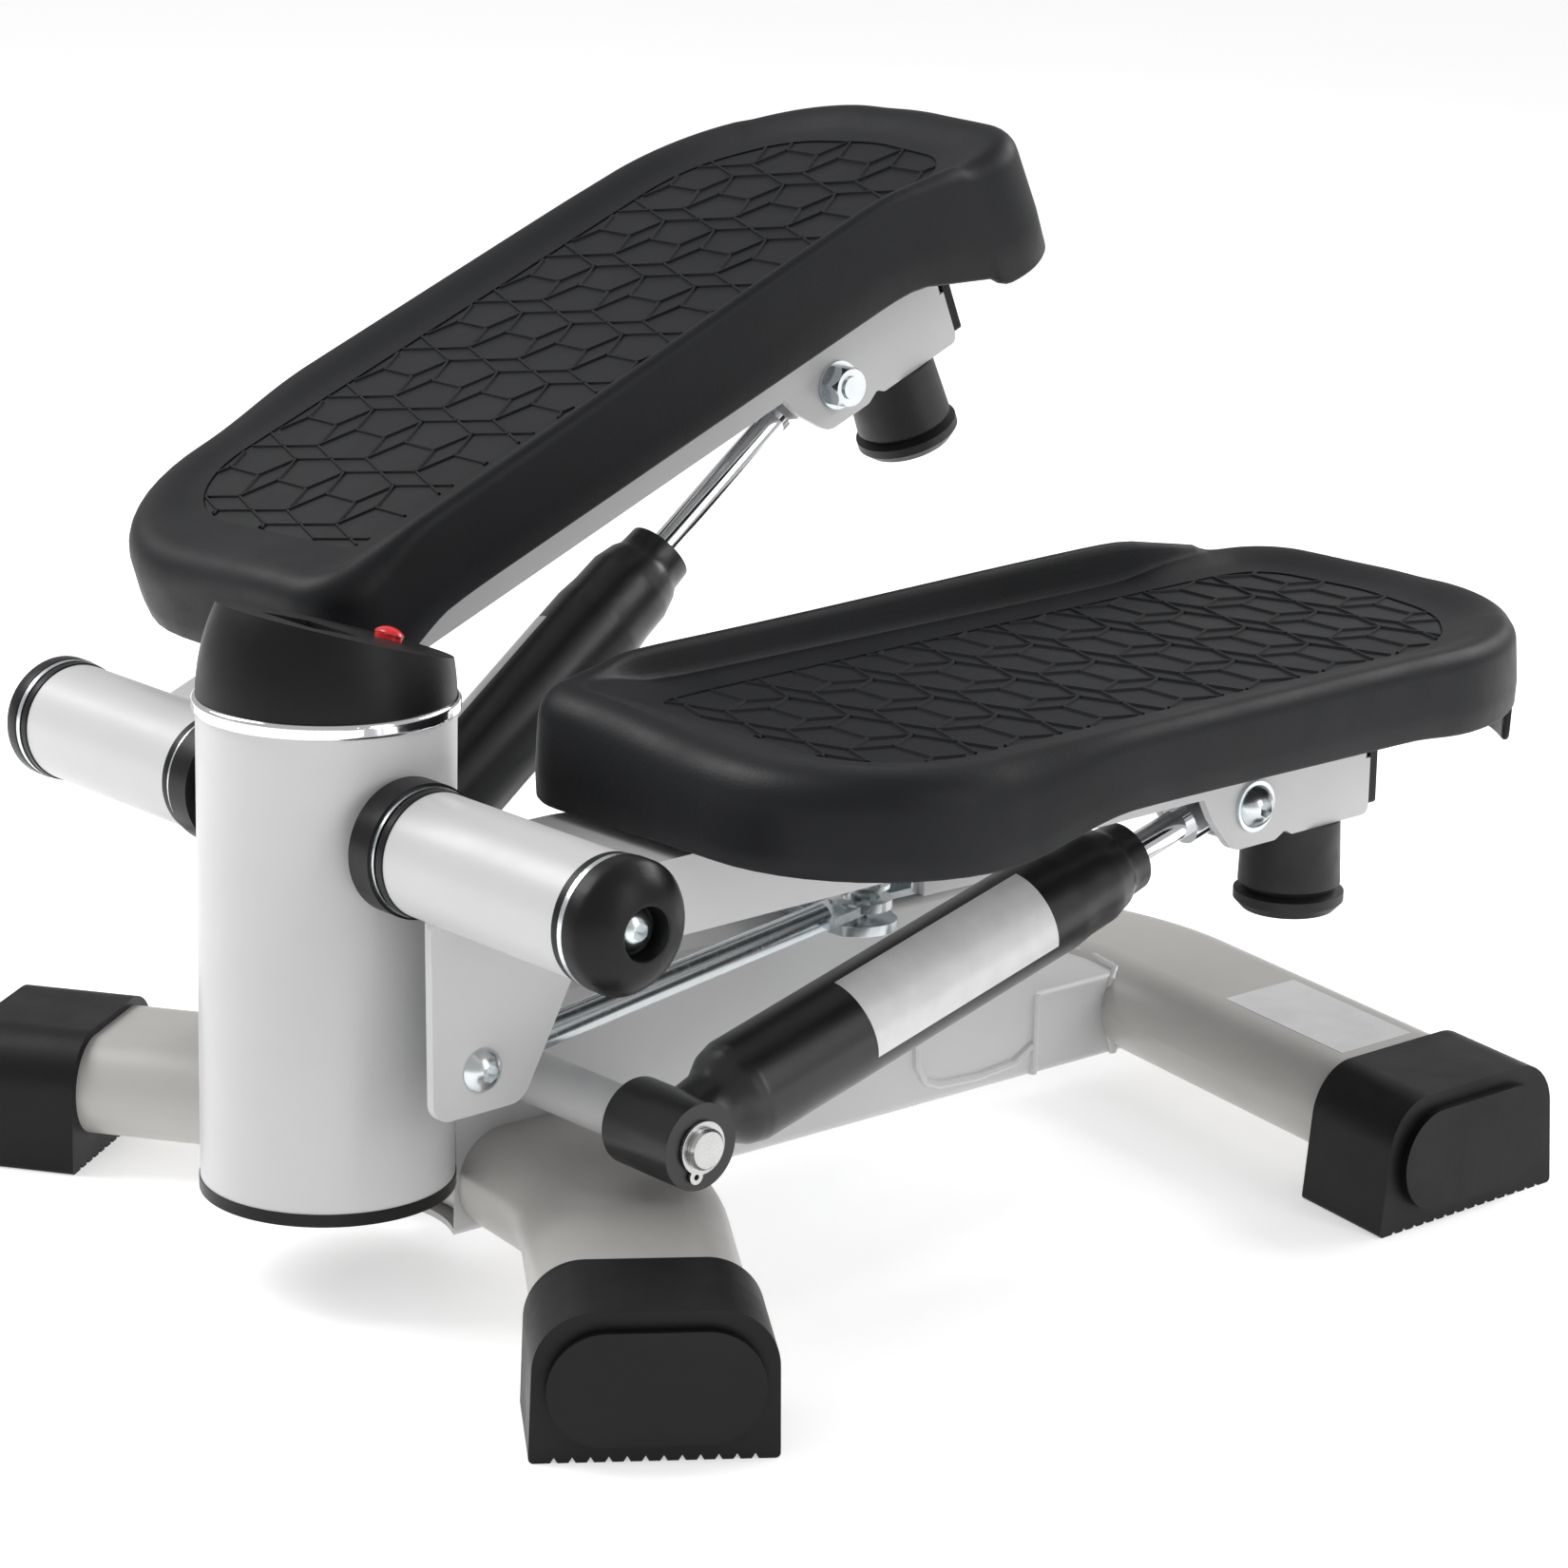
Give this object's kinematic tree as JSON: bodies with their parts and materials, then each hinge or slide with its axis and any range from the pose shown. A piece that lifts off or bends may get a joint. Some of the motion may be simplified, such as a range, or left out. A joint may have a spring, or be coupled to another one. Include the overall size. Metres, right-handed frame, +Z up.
{
  "type": "mini stepper",
  "caption": "Foot-powered mini stepper: two swinging pedals on one axle linked by a rocker, hydraulic cylinders, console post and a four-footed frame.",
  "frame": {"origin": "middle of the footprint on the floor", "axes": "+Z up, -Y towards the console post, which the user faces, +X to the right-hand side of the drawing"},
  "size_m": [0.373, 0.42, 0.324],
  "materials": {
    "frame_paint": "satin light-grey powder coat",
    "bar_paint": "satin warm-grey powder coat",
    "black_plastic": "smooth satin black",
    "console_plastic": "satin black, finely grained",
    "foot_plastic": "soft matt black",
    "tray_plastic": "fine moulded grain",
    "tread_rubber": "ribbed tread",
    "bumper_rubber": "matt rubber",
    "zinc": "bright zinc plate",
    "steel": "ground steel",
    "chrome": "polished",
    "barrel_paint": "gloss black paint",
    "red_plastic": "glossy",
    "lens": "clear window",
    "display": "liquid-crystal panel",
    "circuit_board": "solder mask",
    "cell_steel": "battery can"
  },
  "bodies": {
    "root": {"post_tube": "frame_paint", "post_base_ring": "black_plastic", "post_trim_ring": "chrome", "console_housing": "console_plastic", "console_window": "lens", "console_display": "display", "console_board": "circuit_board", "battery_cell": "cell_steel", "main_tube": "frame_paint", "rear_block": "frame_paint", "rear_stub": "frame_paint", "front_bar": "bar_paint", "rear_bar": "bar_paint", "front_right_foot": "foot_plastic", "front_left_foot": "foot_plastic", "rear_right_foot": "foot_plastic", "rear_left_foot": "foot_plastic", "pivot_axle": "steel", "saddle_spacers": "black_plastic", "pivot_washers": "zinc", "pivot_end_caps": "black_plastic", "pivot_end_bolts": "zinc", "lower_cross_tube": "frame_paint", "lower_pin": "steel", "retaining_clips": "steel", "rocker_bracket": "zinc", "rocker_pivot_bolt": "zinc"},
    "console_button": {"console_button": "red_plastic"},
    "rocker": {"rocker_plate": "zinc", "rocker_end_bolts": "zinc"},
    "right_pedal": {"right_pivot_tube": "frame_paint", "right_pivot_bushes": "black_plastic", "right_arm": "frame_paint", "right_arm_end_cap": "black_plastic", "right_crank_tab": "frame_paint", "right_tab_bolt": "zinc", "right_cylinder_bracket": "frame_paint", "right_eye_bolt": "zinc", "right_bumper": "bumper_rubber", "right_pedal_tray": "tray_plastic", "right_tread_pad": "tread_rubber", "right_tray_screws": "zinc"},
    "right_tie_rod": {"right_tie_rod": "zinc"},
    "right_barrel": {"right_cylinder_barrel": "barrel_paint"},
    "right_rod": {"right_cylinder_rod": "chrome"},
    "left_pedal": {"left_pivot_tube": "frame_paint", "left_pivot_bushes": "black_plastic", "left_arm": "frame_paint", "left_arm_end_cap": "black_plastic", "left_crank_tab": "frame_paint", "left_tab_bolt": "zinc", "left_cylinder_bracket": "frame_paint", "left_eye_bolt": "zinc", "left_bumper": "bumper_rubber", "left_pedal_tray": "tray_plastic", "left_tread_pad": "tread_rubber", "left_tray_screws": "zinc"},
    "left_tie_rod": {"left_tie_rod": "zinc"},
    "left_barrel": {"left_cylinder_barrel": "barrel_paint"},
    "left_rod": {"left_cylinder_rod": "chrome"}
  },
  "joints": [
    {"name": "right_pedal_swing", "type": "hinge", "parent": "root", "child": "right_pedal", "pos_m": [0, -0.1727, 0.1435], "axis": [1, 0, 0], "range_deg": [-6.6, 28.7]},
    {"name": "left_pedal_swing", "type": "hinge", "parent": "root", "child": "left_pedal", "pos_m": [0, -0.1727, 0.1435], "axis": [1, 0, 0], "range_deg": [-28.7, 6.6]},
    {"name": "rocker_turn", "type": "hinge", "parent": "root", "child": "rocker", "pos_m": [0, 0.0177, 0.0854], "axis": [0, 0, 1], "range_deg": [-9.81, 42.6]},
    {"name": "right_tie_rod_pivot", "type": "hinge", "parent": "right_pedal", "child": "right_tie_rod", "pos_m": [0.0547, -0.1604, 0.07853], "axis": [1, 0, 0], "range_deg": [-32.74, 7.54]},
    {"name": "right_cylinder_tilt", "type": "hinge", "parent": "root", "child": "right_barrel", "pos_m": [0.094, -0.1172, 0.05905], "axis": [1, 0, 0], "range_deg": [-6.9, 29.94]},
    {"name": "right_rod_slide", "type": "slide", "parent": "right_barrel", "child": "right_rod", "axis": [0, 0.9638, 0.2665], "range_m": [-0.01137, 0.04937]},
    {"name": "left_tie_rod_pivot", "type": "hinge", "parent": "left_pedal", "child": "left_tie_rod", "pos_m": [-0.0547, -0.13683, 0.08796], "axis": [1, 0, 0], "range_deg": [-7.39, 32.09]},
    {"name": "left_cylinder_tilt", "type": "hinge", "parent": "root", "child": "left_barrel", "pos_m": [-0.094, -0.1172, 0.05905], "axis": [1, 0, 0], "range_deg": [-29.93, 6.9]},
    {"name": "left_rod_slide", "type": "slide", "parent": "left_barrel", "child": "left_rod", "axis": [0, 0.7822, 0.6231], "range_m": [-0.04946, 0.01139]},
    {"name": "console_button_press", "type": "slide", "parent": "root", "child": "console_button", "axis": [0, -0.284, -0.9588], "range_m": [0, 0.001], "stiffness_N_per_m": 800}
  ],
  "couplings": [
    {"joint": "left_pedal_swing", "follows": "right_pedal_swing", "ratio": -1},
    {"joint": "rocker_turn", "follows": "right_pedal_swing", "ratio": 1.4838},
    {"joint": "right_tie_rod_pivot", "follows": "right_pedal_swing", "ratio": -1.1402},
    {"joint": "right_cylinder_tilt", "follows": "right_pedal_swing", "ratio": 1.0424},
    {"joint": "right_rod_slide", "follows": "right_pedal_swing", "m_per_rad": 0.09852},
    {"joint": "left_tie_rod_pivot", "follows": "right_pedal_swing", "ratio": 1.1174},
    {"joint": "left_cylinder_tilt", "follows": "right_pedal_swing", "ratio": -1.0421},
    {"joint": "left_rod_slide", "follows": "right_pedal_swing", "m_per_rad": -0.0987}
  ]
}
